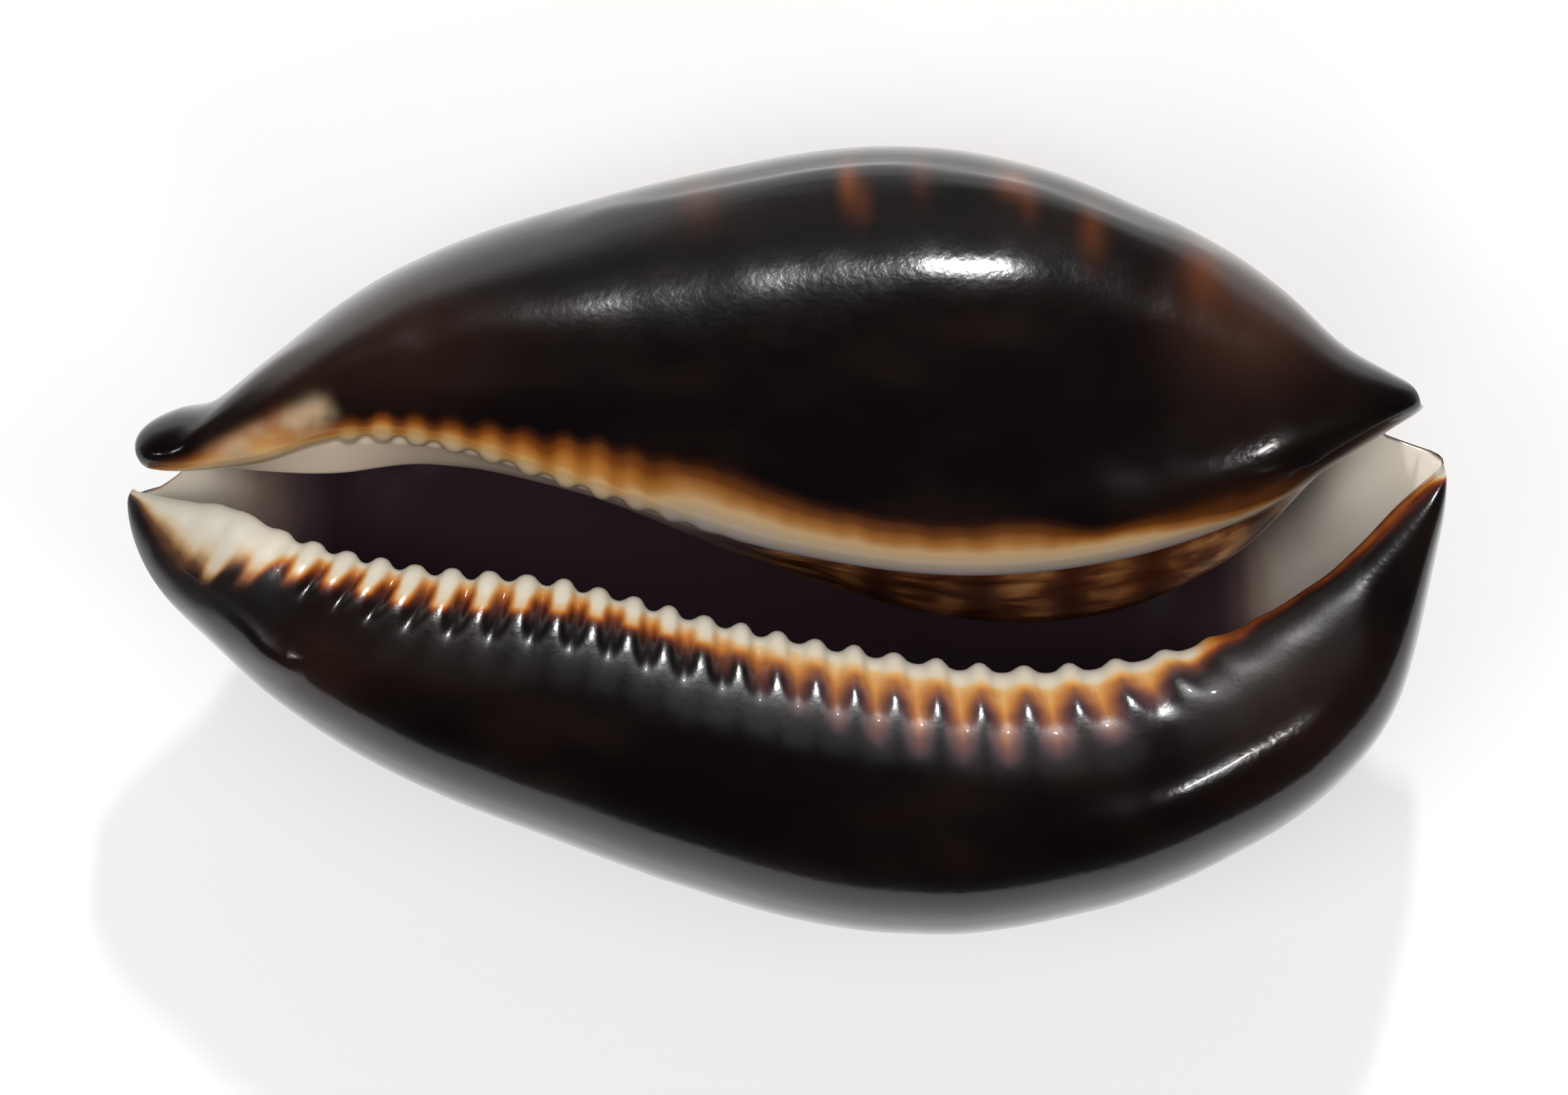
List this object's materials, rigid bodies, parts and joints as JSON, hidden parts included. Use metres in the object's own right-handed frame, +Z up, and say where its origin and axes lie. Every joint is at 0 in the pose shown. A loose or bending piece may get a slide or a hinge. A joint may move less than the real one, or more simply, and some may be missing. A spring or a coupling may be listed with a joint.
{
  "type": "cowrie shell",
  "caption": "Dark glossy cowrie shell lying on its back, with a toothed slit mouth, rolled lips and an open inside.",
  "frame": {"origin": "on the surface the shell lies on, under the middle of its length and width", "axes": "+X from the front canal to the back canal, +Y towards the inner lip's side, +Z up out of the mouth"},
  "size_m": [0.082, 0.0492, 0.0406],
  "materials": {
    "glazed_shell": "natural shell enamel: near-black brown, very glossy, cream teeth with amber gaps, dull grey-violet inside"
  },
  "bodies": {
    "root": {"cowrie_shell": "glazed_shell"}
  },
  "joints": []
}
